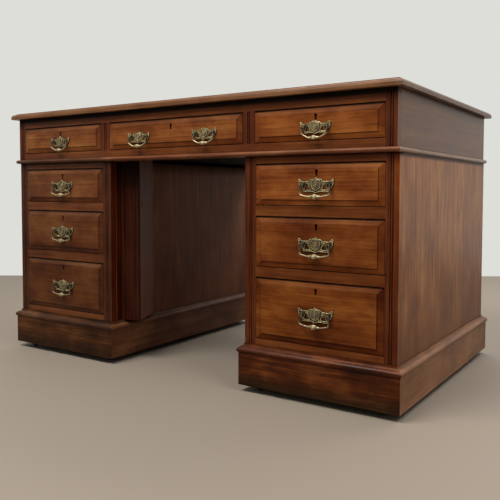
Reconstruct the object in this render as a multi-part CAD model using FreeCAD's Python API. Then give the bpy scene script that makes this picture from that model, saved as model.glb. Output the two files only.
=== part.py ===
import FreeCAD, Part
import math
import os

V = FreeCAD.Vector

# Frame: millimetres, +Z up, X along the desk, the drawers open towards -Y.
# The origin is on the floor under the middle of the desk.

# Top
TOP_W = 1370.0
TOP_D = 820.0
DESK_H = 790.0
TOP_T = 19.0
TOP_ARRIS = 12.0        # width of the moulded border seen from above
TOP_FILLET = 2.5        # small step above the thumb moulding
TOP_NOSE = 7.0          # upright part of the edge below the moulding

# Frieze, the case under the top with three drawers
TOP_OVER_ENDS = 18.0        # how far the top stands out beyond the frieze
TOP_OVER_FRONT = 20.0
TOP_OVER_BACK = 22.0
FRIEZE_H = 135.5
FRIEZE_MUNTIN_W = 37.5      # upright between two frieze drawers
FRIEZE_TOP_RAIL = 31.0
FRIEZE_LOW_RAIL = 20.5
FRIEZE_FLOOR_T = 10.0
FRIEZE_WALL_T = 20.0
PARTITION_T = 20.0
KICKER_W = 25.0

# Half-round moulding between frieze and pedestals
WAIST_H = 12.0
WAIST_OUT = 9.0             # how far its nose stands out of the frieze
WAIST_IN = 38.0             # how far it runs in under the frieze
WAIST_BACK_OUT = 8.0

# Pedestals
PED_W = 424.0
PED_PROUD = 4.0             # outer side beyond the frieze's end
PED_FRONT_IN = 6.0          # front frame behind the frieze's
PED_BACK_IN = 10.0
STILE_W = 33.5
FRAME_T = 22.0
SIDE_T = 20.0
BACK_T = 12.0
PED_RAIL = 27.0
PED_TOP_RAIL = 19.5
PED_LOW_RAIL = 17.0
DRAWER_RATIO = (108.0, 133.0, 163.0)        # clear heights to each other, top drawer first
RUNNER_W = 40.0
GUIDE_H = 20.0
STOP_T = 15.0

# Reeded groove pair on the stiles
REED_FROM_DRAWER = 12.5
REED_PITCH = 5.6
REED_R = 1.8

# Plinths
PLINTH_OUT = 12.0           # plinth face beyond the pedestal's sides
PLINTH_FRONT_OUT = 14.0
PLINTH_BOTTOM = 18.0
PLINTH_H = 88.5
PLINTH_T = 20.0
CAP_H = 22.5
CAP_IN = 34.0
CAP_NOSE = 4.0              # round nose of the cap beyond the plinth's face

# Drawers
FRONT_T = 20.0
FIELD_RISE = 3.5
BEVEL_SIDE_W = 16.5         # border beside the field
BEVEL_EDGE_W = 13.5         # border above and below the field
BEVEL_RISE = 2.3
GAP_SIDE = 1.2
GAP_TOP = 3.0
GAP_BOTTOM = 2.2
LINING_T = 10.0
LINING_SHORT = 6.0          # drawer sides end this far below the opening's top
BOTTOM_T = 6.0
BOTTOM_UP = 8.0
GROOVE = 4.0
DRAWER_SHORT = 72.0         # drawers end this far before the pedestal's back
TAIL_W = 22.0               # dovetails of the drawer sides
TAIL_FLARE = 3.0
TAIL_LAP = 6.0              # wood left in front of the tails
RUN_GAP = 0.5               # drawer side to guide

# Keyholes and locks
KEY_DOWN = 17.2             # top of the keyhole below the drawer opening's top
KEY_H = 15.5
KEY_R = 4.2
KEY_SLOT = 5.2
LOCK_W = 62.0
LOCK_H = 34.0
LOCK_T = 9.0

# Pierced brass handles, sizes at the pedestal drawers; the frieze has smaller ones
FRIEZE_HANDLE_SCALE = 0.86
FRIEZE_PIVOT_DOWN = 6.5     # pivot line below the middle of a frieze drawer; others have it there
FRIEZE_HANDLE_PLACE = 120.0 / 243.0     # handles of the wide drawer, of its half width
PLATE_T = 2.4
SHIELD_T = 1.2              # pointed shield raised on the plate
LOZENGE_T = 0.9             # lozenge raised on the shield
POST_X = 33.0
POST_R = 4.0
POST_OUT = 12.0
PIVOT_OUT = 8.0             # pivot axis in front of the plate
PIN_R = 1.9                 # the bail is one rod, turned in at both ends
PIN_GAP = 0.05
BAIL_X = 40.5
BAIL_EYE_R = 2.9
BAIL_CORNER_R = 6.0
BAIL_EASE_R = 12.0
BAIL_SIDE = 20.0            # straight drop from the pivot to the lower corner's bend
BAIL_DROP = 30.5            # pivot to the middle of the knop
FRIEZE_BAIL_SIDE = 15.0
FRIEZE_BAIL_DROP = 32.5
KNOP_R = 5.8
KNOP_L = 33.0

# Casters inside the plinths
CASTER_IN = 48.0            # swivel axis from the plinth's faces
WHEEL_R = 16.0
WHEEL_W = 10.0
AXLE_R = 2.5
AXLE_GAP = 0.05
TRAIL = 10.0
CHEEK_T = 3.0
CHEEK_GAP = 0.5
CHEEK_R = 6.0
RIVET_R = 4.5
RIVET_T = 1.5
CROWN_R = 12.0
CROWN_T = 5.0
CROWN_OVER_WHEEL = 6.0
STEM_R = 5.0
STEM_L = 20.0
STEM_GAP = 0.05
SOCKET_WALL = 4.0
SOCKET_L = 22.0
SOCKET_PLATE = 46.0
SOCKET_PLATE_T = 3.0
SOCKET_HOLE_GAP = 0.4
BLOCK_W = 64.0

# Locking pilaster on the kneehole side of the left pedestal
PILASTER_OUT = 56.0
PILASTER_BEHIND = 54.0      # its front edge behind the pedestal's
PILASTER_D = 134.0
PILASTER_EDGE = 3.0         # what is left of its thickness at the back
PILASTER_NOSE_R = 9.0
PILASTER_KEY_IN = 31.8      # keyhole behind the post's front edge
PILASTER_KEY_DOWN = 144.5   # foot of the keyhole below the pedestal's top
PILASTER_KEY_H = 17.0
PILASTER_KEY_DEEP = 14.0

# Levels and planes worked out from the sizes above
TOP_BOTTOM = DESK_H - TOP_T
FRIEZE_BOTTOM = TOP_BOTTOM - FRIEZE_H
FRIEZE_X = TOP_W / 2 - TOP_OVER_ENDS
FRIEZE_FRONT = TOP_OVER_FRONT - TOP_D / 2
FRIEZE_BACK = TOP_D / 2 - TOP_OVER_BACK
FRIEZE_Z0 = FRIEZE_BOTTOM + FRIEZE_LOW_RAIL
FRIEZE_Z1 = TOP_BOTTOM - FRIEZE_TOP_RAIL
PED_TOP = FRIEZE_BOTTOM - WAIST_H
PED_OUTER = FRIEZE_X + PED_PROUD
PED_INNER = PED_OUTER - PED_W
PED_FRONT = FRIEZE_FRONT + PED_FRONT_IN
PED_BACK = FRIEZE_BACK - PED_BACK_IN
DRAWER_X0 = PED_INNER + STILE_W
DRAWER_X1 = PED_OUTER - STILE_W
DRAWER_MID = (DRAWER_X0 + DRAWER_X1) / 2
DRAWER_BACK = PED_BACK - DRAWER_SHORT
FRIEZE_MUNTIN_X = DRAWER_X0 - FRIEZE_MUNTIN_W
FRIEZE_HANDLE_X = FRIEZE_MUNTIN_X * FRIEZE_HANDLE_PLACE
CAP_BOTTOM = PLINTH_BOTTOM + PLINTH_H
CAP_TOP = CAP_BOTTOM + CAP_H
DRAWERS_CLEAR = PED_TOP - CAP_TOP - PED_TOP_RAIL - 2 * PED_RAIL - PED_LOW_RAIL
PILASTER_FRONT = PED_FRONT + PILASTER_BEHIND
PILASTER_BACK = PILASTER_FRONT + PILASTER_D
PLINTH_FRONT = PED_FRONT - PLINTH_FRONT_OUT
PLINTH_BACK = PED_BACK + PLINTH_FRONT_OUT
CROWN_Z = 2 * WHEEL_R + CROWN_OVER_WHEEL
BLOCK_Z = CROWN_Z + CROWN_T + SOCKET_PLATE_T

SIDES = (("left", -1), ("right", 1))
LEVELS = ("upper", "middle", "lower")


def save(node, solids):
    """Write the solids of one node, turned to plain placements."""
    Part.makeCompound(solids).exportStep("parts/" + node + ".step")


def block(x0, x1, y0, y1, z0, z1):
    """Box between two corners, given in any order along X."""
    low = min(x0, x1)
    return Part.makeBox(abs(x1 - x0), y1 - y0, z1 - z0, V(low, y0, z0))


def is_arc(step):
    """A step of an outline is a point, or a pair: a point passed through and an arc's end."""
    return isinstance(step[0], tuple)


def step_end(step):
    return step[1] if is_arc(step) else step


def outline(steps, place):
    """Closed face through the steps, each point put in space by place."""
    edges = []
    last = steps[0]
    for step in steps[1:] + steps[:1]:
        end = step_end(step)
        if is_arc(step):
            edges.append(Part.Arc(place(*last), place(*step[0]), place(*end)).toShape())
        elif math.dist(last, end) > 1e-6:
            edges.append(Part.LineSegment(place(*last), place(*end)).toShape())
        last = end
    return Part.Face(Part.Wire(edges))


def strip(points, length, over=0.0):
    """Straight moulding along +X whose profile is (outwards, z), outwards being -Y."""
    face = outline(points, lambda out, z: V(-over, -out, z))
    return face.extrude(V(length + 2 * over, 0, 0))


def around(x0, x1, y0, y1, points, mitred=True):
    """Four strips round a rectangle, mitred at the corners or running past them."""
    corners = ((x0, y0, x1 - x0), (x1, y0, y1 - y0), (x1, y1, x1 - x0), (x0, y1, y1 - y0))
    reach = max(abs(step_end(step)[0]) for step in points) + 1.0
    bars = []
    for turn, (x, y, length) in enumerate(corners):
        bar = strip(points, length, reach)
        if mitred:
            plan = [V(-reach, -reach, 0), V(length + reach, -reach, 0)]
            plan += [V(length - reach, reach, 0), V(reach, reach, 0)]
            low, high = bar.BoundBox.ZMin - 1, bar.BoundBox.ZMax + 1
            wedge = Part.Face(Part.makePolygon(plan + plan[:1])).extrude(V(0, 0, high - low))
            wedge.translate(V(0, 0, low))
            bar = bar.common(wedge).Solids[0]
        bar.rotate(V(0, 0, 0), V(0, 0, 1), 90 * turn)
        bar.translate(V(x, y, 0))
        bars.append(bar)
    return bars


def keyhole(height, depth):
    """Cutter for a keyhole: round head above a slot, from y = 0 inwards, foot at z = 0."""
    head = Part.makeCylinder(KEY_R, depth, V(0, 0, height - KEY_R), V(0, 1, 0))
    slot = block(-KEY_SLOT / 2, KEY_SLOT / 2, 0, depth, 0, height - KEY_R)
    return head.fuse(slot)


def top_board():
    """Board whose four edges are routed to a thumb moulding."""
    board = block(-TOP_W / 2, TOP_W / 2, -TOP_D / 2, TOP_D / 2, TOP_BOTTOM, DESK_H)
    step_z = DESK_H - TOP_FILLET
    nose_z = TOP_BOTTOM + TOP_NOSE
    inner = -TOP_ARRIS + 2.0
    via = (inner * 0.30, step_z + (nose_z - step_z) * 0.32)
    waste = [(-TOP_ARRIS, DESK_H + 1), (-TOP_ARRIS, step_z), (inner, step_z), (via, (0.0, nose_z)),
             (1.0, nose_z), (1.0, DESK_H + 1)]
    cutters = around(-TOP_W / 2, TOP_W / 2, -TOP_D / 2, TOP_D / 2, waste, mitred=False)
    return board.cut(cutters)


def reeded(x0, x1, front, z0, z1, reed_x):
    """Upright of a front frame with a bead between two fine grooves at each reed_x."""
    upright = block(x0, x1, front, front + FRAME_T, z0, z1)
    grooves = []
    for x in reed_x:
        for side in (-REED_PITCH / 2, REED_PITCH / 2):
            grooves.append(Part.makeCylinder(REED_R, z1 - z0, V(x + side, front, z0)))
    return upright.cut(grooves)


def frieze_frame():
    """Two long rails, the end stiles and the two uprights between the drawers."""
    x_end = FRIEZE_X
    x_open = DRAWER_X1
    parts = []
    for z0, z1 in ((FRIEZE_BOTTOM, FRIEZE_Z0), (FRIEZE_Z1, TOP_BOTTOM)):
        parts.append(block(-x_open, x_open, FRIEZE_FRONT, FRIEZE_FRONT + FRAME_T, z0, z1))
    for _, s in SIDES:
        x0, x1 = sorted((s * x_open, s * x_end))
        reed = s * (x_open + REED_FROM_DRAWER + REED_PITCH / 2)
        parts.append(reeded(x0, x1, FRIEZE_FRONT, FRIEZE_BOTTOM, TOP_BOTTOM, (reed,)))
        x0, x1 = sorted((s * FRIEZE_MUNTIN_X, s * DRAWER_X0))
        parts.append(reeded(x0, x1, FRIEZE_FRONT, FRIEZE_Z0, FRIEZE_Z1, ((x0 + x1) / 2,)))
    return parts


def frieze_case():
    """End boards, back board, thin floor and the two partitions behind the uprights."""
    y0 = FRIEZE_FRONT + FRAME_T
    y1 = FRIEZE_BACK - FRIEZE_WALL_T
    inside = FRIEZE_X - FRIEZE_WALL_T
    parts = [block(s * inside, s * FRIEZE_X, y0, FRIEZE_BACK, FRIEZE_BOTTOM, TOP_BOTTOM) for _, s in SIDES]
    parts.append(block(-inside, inside, y1, FRIEZE_BACK, FRIEZE_BOTTOM, TOP_BOTTOM))
    floor_z = FRIEZE_BOTTOM + FRIEZE_FLOOR_T
    parts.append(block(-inside, inside, y0, y1, FRIEZE_BOTTOM, floor_z))
    middle = (FRIEZE_MUNTIN_X + DRAWER_X0) / 2
    for _, s in SIDES:
        x0 = s * middle - PARTITION_T / 2
        parts.append(block(x0, x0 + PARTITION_T, y0, y1, floor_z, TOP_BOTTOM))
    return parts


def frieze_runners():
    """Runners, guides, kickers and stops on both sides of each frieze drawer."""
    y0 = FRIEZE_FRONT + FRAME_T
    y1 = FRIEZE_BACK - FRIEZE_WALL_T
    floor_z = FRIEZE_BOTTOM + FRIEZE_FLOOR_T
    half = PARTITION_T / 2
    middle = (FRIEZE_MUNTIN_X + DRAWER_X0) / 2
    walls = []
    for _, s in SIDES:
        walls.append((s * (FRIEZE_X - FRIEZE_WALL_T), s * DRAWER_X1, -s))
        walls.append((s * (middle + half), s * DRAWER_X0, s))
        walls.append((s * (middle - half), s * FRIEZE_MUNTIN_X, -s))
    parts = []
    for wall, edge, inwards in walls:
        parts.append(block(wall, wall + inwards * RUNNER_W, y0, y1, floor_z, FRIEZE_Z0))
        guide = edge - inwards * (RUN_GAP - GAP_SIDE)
        parts.append(block(wall, guide, y0, DRAWER_BACK, FRIEZE_Z0, FRIEZE_Z0 + GUIDE_H))
        parts.append(block(wall, wall + inwards * RUNNER_W, DRAWER_BACK, DRAWER_BACK + STOP_T,
                           FRIEZE_Z0, FRIEZE_Z0 + GUIDE_H))
        parts.append(block(wall, wall + inwards * KICKER_W, y0, y1, FRIEZE_Z1, TOP_BOTTOM))
    return parts


def waist_moulding():
    """Mitred half-round strips round the foot of the frieze."""
    nose = FRIEZE_X + WAIST_OUT
    radius = WAIST_H / 2
    depth = -WAIST_OUT - WAIST_IN
    middle = PED_TOP + radius
    profile = [(depth, PED_TOP), (-radius, PED_TOP), ((0.0, middle), (-radius, FRIEZE_BOTTOM)),
               (depth, FRIEZE_BOTTOM)]
    return around(-nose, nose, FRIEZE_FRONT - WAIST_OUT, FRIEZE_BACK + WAIST_BACK_OUT, profile)


def opening_levels():
    """Lower and upper level of each drawer opening of a pedestal, top drawer first."""
    levels = []
    high = PED_TOP - PED_TOP_RAIL
    for ratio in DRAWER_RATIO:
        clear = DRAWERS_CLEAR * ratio / sum(DRAWER_RATIO)
        levels.append((high - clear, high))
        high = high - clear - PED_RAIL
    return levels


def pedestal_sides(s):
    y0 = PED_FRONT + FRAME_T
    outer = block(s * (PED_OUTER - SIDE_T), s * PED_OUTER, y0, PED_BACK, CAP_TOP, PED_TOP)
    inner = block(s * PED_INNER, s * (PED_INNER + SIDE_T), y0, PED_BACK, CAP_TOP, PED_TOP)
    return [outer, inner]


def pedestal_frame(s):
    """Two reeded stiles and the rails above, between and below the drawers."""
    parts = []
    offset = REED_FROM_DRAWER + REED_PITCH / 2
    for edge, drawer, way in ((PED_OUTER, DRAWER_X1, 1), (PED_INNER, DRAWER_X0, -1)):
        x0, x1 = sorted((s * edge, s * drawer))
        reed = s * (drawer + way * offset)
        parts.append(reeded(x0, x1, PED_FRONT, CAP_TOP, PED_TOP, (reed,)))
    bounds = [PED_TOP]
    for low, high in opening_levels():
        bounds += [high, low]
    bounds.append(CAP_TOP)
    for z1, z0 in zip(bounds[0::2], bounds[1::2]):
        parts.append(block(s * DRAWER_X0, s * DRAWER_X1, PED_FRONT, PED_FRONT + FRAME_T, z0, z1))
    return parts


def pedestal_inside(s):
    """Top and bottom boards, runners between them, guides and drawer stops."""
    y0 = PED_FRONT + FRAME_T
    y1 = PED_BACK - BACK_T
    x0 = PED_INNER + SIDE_T
    x1 = PED_OUTER - SIDE_T
    levels = opening_levels()
    parts = [block(s * x0, s * x1, y0, y1, levels[0][1], PED_TOP)]
    parts.append(block(s * x0, s * x1, y0, y1, CAP_TOP, levels[-1][0]))
    for wall, edge, inwards in ((x0, DRAWER_X0, 1), (x1, DRAWER_X1, -1)):
        guide = edge - inwards * (RUN_GAP - GAP_SIDE)
        stop = wall + inwards * RUNNER_W
        for level, (low, _) in enumerate(levels):
            if level < len(levels) - 1:
                below = levels[level + 1][1]
                parts.append(block(s * wall, s * stop, y0, y1, below, low))
            parts.append(block(s * wall, s * guide, y0, DRAWER_BACK, low, low + GUIDE_H))
            parts.append(block(s * wall, s * stop, DRAWER_BACK, DRAWER_BACK + STOP_T, low, low + GUIDE_H))
    return parts


def pedestal_back(s):
    x0 = PED_INNER + SIDE_T
    x1 = PED_OUTER - SIDE_T
    return block(s * x0, s * x1, PED_BACK - BACK_T, PED_BACK, CAP_TOP, PED_TOP)


def plinth_box(s):
    """Outer faces of one plinth: x0, x1, y0, y1."""
    x0, x1 = sorted((s * (PED_INNER - PLINTH_OUT), s * (PED_OUTER + PLINTH_OUT)))
    return x0, x1, PLINTH_FRONT, PLINTH_BACK


def caster_places(s):
    """Swivel axes of one pedestal's casters: name, x, y, and the way the wheel trails."""
    x0, x1, y0, y1 = plinth_box(s)
    inner, outer = (x1, x0) if s < 0 else (x0, x1)
    places = []
    for row, y, trail in (("front", y0 + CASTER_IN, -1), ("rear", y1 - CASTER_IN, 1)):
        places.append((row + "_inner", inner + s * CASTER_IN, y, trail))
        places.append((row + "_outer", outer - s * CASTER_IN, y, trail))
    return places


def plinth(s):
    """Mitred boards, moulded cap strips and the corner blocks that carry the casters."""
    x0, x1, y0, y1 = plinth_box(s)
    board = [(-PLINTH_T, PLINTH_BOTTOM), (0.0, PLINTH_BOTTOM), (0.0, CAP_BOTTOM), (-PLINTH_T, CAP_BOTTOM)]
    parts = around(x0, x1, y0, y1, board)

    def on_nose(out, up):
        return (out * CAP_NOSE, CAP_BOTTOM + up * CAP_H)

    def above(inwards, up):
        return (-inwards * PLINTH_OUT, CAP_BOTTOM + up * CAP_H)

    cap = [(-CAP_IN, CAP_BOTTOM), on_nose(0.6, 0.0), (on_nose(1.0, 0.21), on_nose(0.4, 0.45)),
           (above(0.1, 0.57), above(0.42, 0.655)), above(0.42, 0.58), above(0.53, 0.58),
           (above(0.77, 0.69), above(0.88, 0.9)), above(0.88, 1.0), (-CAP_IN, CAP_TOP)]
    parts += around(x0, x1, y0, y1, cap)
    hole_r = STEM_R + STEM_GAP + SOCKET_WALL + SOCKET_HOLE_GAP
    for _, x, y, _ in caster_places(s):
        bx0 = x0 + PLINTH_T if x - x0 < x1 - x else x1 - PLINTH_T - BLOCK_W
        by0 = y0 + PLINTH_T if y < 0 else y1 - PLINTH_T - BLOCK_W
        corner = block(bx0, bx0 + BLOCK_W, by0, by0 + BLOCK_W, BLOCK_Z, CAP_BOTTOM)
        parts.append(corner.cut(Part.makeCylinder(hole_r, SOCKET_L + 2, V(x, y, BLOCK_Z))))
    return parts


def pilaster():
    """Post with a round nose and a keyhole, its kneehole face tapering back to the pedestal's side."""
    wall = -PED_INNER
    edge = wall + PILASTER_EDGE
    nose = wall + PILASTER_OUT - PILASTER_NOSE_R
    front = PILASTER_FRONT + 4.0
    turn = front + 1.0 + PILASTER_NOSE_R
    out, back = nose - edge, PILASTER_BACK - turn
    taper = math.atan2(out, back) + math.asin(PILASTER_NOSE_R / math.hypot(out, back))

    def on_nose(angle):
        return nose + PILASTER_NOSE_R * math.cos(angle), turn + PILASTER_NOSE_R * math.sin(angle)

    plan = [(wall, PILASTER_FRONT - 4.0), ((wall + 3.0, PILASTER_FRONT - 3.0), (wall + 4.0, PILASTER_FRONT)),
            (nose - 1.6, front), (nose - 1.6, front + 2.0), (nose, front + 1.0),
            (on_nose((taper - math.pi / 2) / 2), on_nose(taper)),
            (edge, PILASTER_BACK), (wall, PILASTER_BACK)]
    post = outline(plan, lambda x, y: V(x, y, CAP_TOP)).extrude(V(0, 0, FRIEZE_BOTTOM - CAP_TOP))
    key_y = PILASTER_FRONT + PILASTER_KEY_IN
    key_x = edge + (PILASTER_BACK - key_y) * math.tan(taper)
    hole = keyhole(PILASTER_KEY_H, PILASTER_KEY_DEEP)
    hole.rotate(V(0, 0, 0), V(0, 0, 1), 90 + math.degrees(taper))
    hole.translate(V(key_x, key_y, PED_TOP - PILASTER_KEY_DOWN))
    return post.cut(hole)


def raised_front(x0, x1, y, z0, z1):
    """Drawer front with a bevelled border, a small step and a flat raised field."""
    board = block(x0, x1, y, y + FRONT_T, z0, z1)

    def rectangle(side, edge, plane):
        corners = [V(x0 + side, plane, z0 + edge), V(x1 - side, plane, z0 + edge),
                   V(x1 - side, plane, z1 - edge), V(x0 + side, plane, z1 - edge)]
        return Part.makePolygon(corners + corners[:1])

    inner = rectangle(BEVEL_SIDE_W, BEVEL_EDGE_W, y - BEVEL_RISE)
    bevel = Part.makeLoft([rectangle(0, 0, y), inner], True, True)
    field = block(x0 + BEVEL_SIDE_W, x1 - BEVEL_SIDE_W, y - FIELD_RISE, y,
                  z0 + BEVEL_EDGE_W, z1 - BEVEL_EDGE_W)
    return board.fuse([bevel, field]).removeSplitter()


def tails(x, inwards, y, z0, z1):
    """Dovetails of one drawer side, as prisms that reach into the drawer front."""
    count = max(2, int((z1 - z0) // (TAIL_W * 1.7)))
    pitch = (z1 - z0) / count
    cutters = []
    for i in range(count):
        z = z0 + pitch * (i + 0.5)
        root = TAIL_W / 2 - TAIL_FLARE
        reach = FRONT_T - TAIL_LAP
        shape = [V(x, y, z - root), V(x, y - reach, z - TAIL_W / 2),
                 V(x, y - reach, z + TAIL_W / 2), V(x, y, z + root)]
        cutters.append(Part.Face(Part.makePolygon(shape + shape[:1])).extrude(V(inwards * LINING_T, 0, 0)))
    return cutters


def drawer(x0, x1, z0, z1, front_y, key_x):
    """Front, two dovetailed sides, back and bottom of one drawer, closed."""
    left = x0 + GAP_SIDE
    right = x1 - GAP_SIDE
    top = z1 - LINING_SHORT
    behind = front_y + FRONT_T
    front = raised_front(left, right, front_y, z0 + GAP_BOTTOM, z1 - GAP_TOP)
    floor_z = z0 + BOTTOM_UP
    bottom = block(left + LINING_T - GROOVE, right - LINING_T + GROOVE, behind - GROOVE, DRAWER_BACK,
                   floor_z, floor_z + BOTTOM_T)
    sides = []
    for x, inwards in ((left, 1), (right, -1)):
        fingers = tails(x, inwards, behind, z0 + GAP_BOTTOM + BOTTOM_UP + BOTTOM_T, top)
        front = front.cut(fingers)
        side = block(x, x + inwards * LINING_T, behind, DRAWER_BACK, z0, top)
        sides.append(side.fuse(fingers).removeSplitter().cut(bottom))
    back = block(left + LINING_T, right - LINING_T, DRAWER_BACK - LINING_T, DRAWER_BACK,
                 floor_z + BOTTOM_T, top)
    hole = keyhole(KEY_H, FIELD_RISE + FRONT_T)
    hole.translate(V(key_x, front_y - FIELD_RISE, z1 - KEY_DOWN - KEY_H))
    front = front.cut([bottom, hole, drawer_lock(front_y, z1, key_x)])
    return [front] + sides + [back, bottom]


def drawer_lock(front_y, z1, key_x):
    """Lock case let into the back of a drawer front behind its keyhole."""
    behind = front_y + FRONT_T
    high = z1 - LINING_SHORT
    return block(key_x - LOCK_W / 2, key_x + LOCK_W / 2, behind - LOCK_T, behind, high - LOCK_H, high)


def handle_plate(k):
    """Pierced plate with a pointed shield, open arms and scrolled tips; its back is at y = 0."""

    def mirrored(right):
        """Whole outline from the steps of its right half, listed from top to bottom."""
        ends = [step_end(step) for step in right]
        left = []
        for step, (u, w) in zip(right[:0:-1], ends[-2::-1]):
            via = ((-step[0][0], step[0][1]),) if is_arc(step) else ()
            left.append((*via, (-u, w)) if via else (-u, w))
        return right + left

    unit = k * POST_X / 33.0        # the outlines below are drawn for posts 33 from the middle

    def solid(points, thick, y=0.0):
        face = outline(points, lambda u, w: V(unit * u, y, unit * w))
        return face.extrude(V(0, -thick, 0))

    rim = mirrored([(0.0, 18.5), ((3.6, 14.6), (10.0, 13.2)), ((16.0, 12.4), (19.5, 8.6)), (29.0, 7.6),
                    ((36.5, 7.4), (41.8, 11.2)), ((45.6, 14.0), (48.8, 11.4)), ((49.2, 8.2), (46.8, 6.2)),
                    ((47.8, 1.0), (45.2, -3.6)), ((42.0, -9.2), (37.6, -11.0)), (34.2, -14.0),
                    ((35.0, -17.8), (31.5, -19.0)), (13.0, -18.4), ((6.0, -19.4), (0.0, -22.0))])
    shield = mirrored([(0.0, 15.5), ((3.2, 12.4), (8.6, 11.2)), ((14.0, 6.5), (13.2, 0.0)),
                       ((10.4, -9.8), (0.0, -17.0))])
    lozenge = mirrored([(0.0, 8.6), ((3.0, 3.2), (8.0, -0.6)), ((3.2, -4.6), (0.0, -10.4))])
    body = solid(rim, PLATE_T).fuse([solid(shield, SHIELD_T, -PLATE_T),
                                     solid(lozenge, LOZENGE_T, -PLATE_T - SHIELD_T)])
    for side in (1, -1):
        window = [(side * 17.0, -12.6), (side * 30.4, -12.6), (side * 29.8, -9.0), (side * 26.2, 1.4),
                  (side * 24.0, 1.4), (side * 17.6, -8.0)]
        body = body.cut(solid(window, PLATE_T))
        for u, w, r in ((45.4, 10.0, 1.4), (41.2, -2.2, 2.6)):
            eye = Part.makeCylinder(unit * r, PLATE_T, V(side * unit * u, 0, unit * w), V(0, -1, 0))
            body = body.cut(eye)
    return body.removeSplitter()


def handle_posts(k):
    """The two posts that stand on the plate and carry the bail's pins."""
    posts = []
    for side in (1, -1):
        post = Part.makeCylinder(k * POST_R, k * POST_OUT, V(side * k * POST_X, -PLATE_T, 0), V(0, -1, 0))
        bore = Part.makeCylinder(PIN_R * k + PIN_GAP, 4 * POST_R,
                                 V(side * k * POST_X - 2 * POST_R, -PLATE_T - k * PIVOT_OUT, 0), V(1, 0, 0))
        posts.append(post.cut(bore))
    return posts


def bent_rod(points, bends, r):
    """Round rod through the points, with a bend of the given radius at each inner one."""
    pieces = []
    start = points[0]
    for before, here, after, bend in zip(points, points[1:], points[2:], bends):
        back = (before - here).normalize()
        ahead = (after - here).normalize()
        half = back.getAngle(ahead) / 2
        first = here + back * (bend / math.tan(half))
        last = here + ahead * (bend / math.tan(half))
        centre = here + (back + ahead).normalize() * (bend / math.sin(half))
        pieces.append(Part.makeCylinder(r, start.distanceToPoint(first), start, -back))
        axis = (first - centre).cross(last - centre)
        disc = Part.Face(Part.Wire(Part.makeCircle(r, first, back)))
        pieces.append(disc.revolve(centre, axis, 180 - 2 * math.degrees(half)))
        start = last
    pieces.append(Part.makeCylinder(r, start.distanceToPoint(points[-1]), start, points[-1] - start))
    return pieces[0].fuse(pieces[1:])


def handle_bail(k, side, drop):
    """Hanging bail: one bent rod with inward pins, and a turned knop on its lowest stretch."""
    axis_y = -PLATE_T - k * PIVOT_OUT
    right = [(KNOP_L / 2 + 2, -drop), (BAIL_X, -side - BAIL_CORNER_R), (BAIL_X, 0.0),
             (POST_X - POST_R, 0.0)]
    corners = (BAIL_EASE_R, BAIL_CORNER_R, BAIL_EYE_R)
    path = [V(-k * u, axis_y, k * w) for u, w in right[::-1]] + [V(k * u, axis_y, k * w) for u, w in right]
    rod = bent_rod(path, [k * r for r in corners[::-1] + corners], k * PIN_R)
    half = KNOP_L / 2
    neck = KNOP_R * 0.5
    waist = KNOP_R * 0.6
    bead = KNOP_R * 0.78
    turning = [(-half, 0.0), (-half, neck), (-half * 0.6, waist), (-half * 0.54, bead), (-half * 0.46, bead),
               (-half * 0.42, waist), ((0.0, KNOP_R), (half * 0.42, waist)), (half * 0.46, bead),
               (half * 0.54, bead), (half * 0.6, waist), (half, neck), (half, 0.0)]
    face = outline(turning, lambda u, r: V(k * u, axis_y + k * r, -k * drop))
    knop = face.revolve(V(0, axis_y, -k * drop), V(1, 0, 0), 360)
    return rod.fuse(knop)


def placed(shape, x, y, z):
    copy = shape.copy()
    copy.translate(V(x, y, z))
    return copy


def caster_socket():
    """Plate and tube that hold a caster's stem, with the plate's underside at z = 0."""
    half = SOCKET_PLATE / 2
    plate = block(-half, half, -half, half, 0, SOCKET_PLATE_T)
    tube = Part.makeCylinder(STEM_R + STEM_GAP + SOCKET_WALL, SOCKET_PLATE_T + SOCKET_L)
    bore = Part.makeCylinder(STEM_R + STEM_GAP, SOCKET_PLATE_T + SOCKET_L)
    return plate.fuse(tube).cut(bore).removeSplitter()


def caster_fork(trail):
    """Fork with its stem, the two cheeks, and the riveted axle; floor at z = 0."""
    stem = Part.makeCylinder(STEM_R, CROWN_T + STEM_L, V(0, 0, CROWN_Z))
    fork = stem.fuse(Part.makeCylinder(CROWN_R, CROWN_T, V(0, 0, CROWN_Z)))
    inner = WHEEL_W / 2 + CHEEK_GAP
    y = trail * TRAIL
    axle_hole = Part.makeCylinder(AXLE_R + AXLE_GAP, 4 * CROWN_R, V(-2 * CROWN_R, y, WHEEL_R), V(1, 0, 0))
    slope = math.hypot(TRAIL, CROWN_Z - WHEEL_R)
    for side in (1, -1):
        x = inner if side > 0 else -inner - CHEEK_T
        eye = Part.makeCylinder(CHEEK_R, CHEEK_T, V(x, y, WHEEL_R), V(1, 0, 0))
        dy = CHEEK_R * (CROWN_Z - WHEEL_R) / slope
        dz = CHEEK_R * trail * TRAIL / slope
        arm = [V(x, y - dy, WHEEL_R - dz), V(x, y + dy, WHEEL_R + dz), V(x, CHEEK_R, CROWN_Z + CROWN_T),
               V(x, -CHEEK_R, CROWN_Z + CROWN_T)]
        fork = fork.fuse([eye, Part.Face(Part.makePolygon(arm + arm[:1])).extrude(V(CHEEK_T, 0, 0))])
    fork = fork.cut(axle_hole).removeSplitter()
    outer = inner + CHEEK_T
    axle = Part.makeCylinder(AXLE_R, 2 * outer, V(-outer, y, WHEEL_R), V(1, 0, 0))
    for side in (1, -1):
        head = Part.makeCylinder(RIVET_R, RIVET_T, V(side * outer, y, WHEEL_R), V(side, 0, 0))
        axle = axle.fuse(head)
    return [fork, axle.removeSplitter()]


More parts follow.
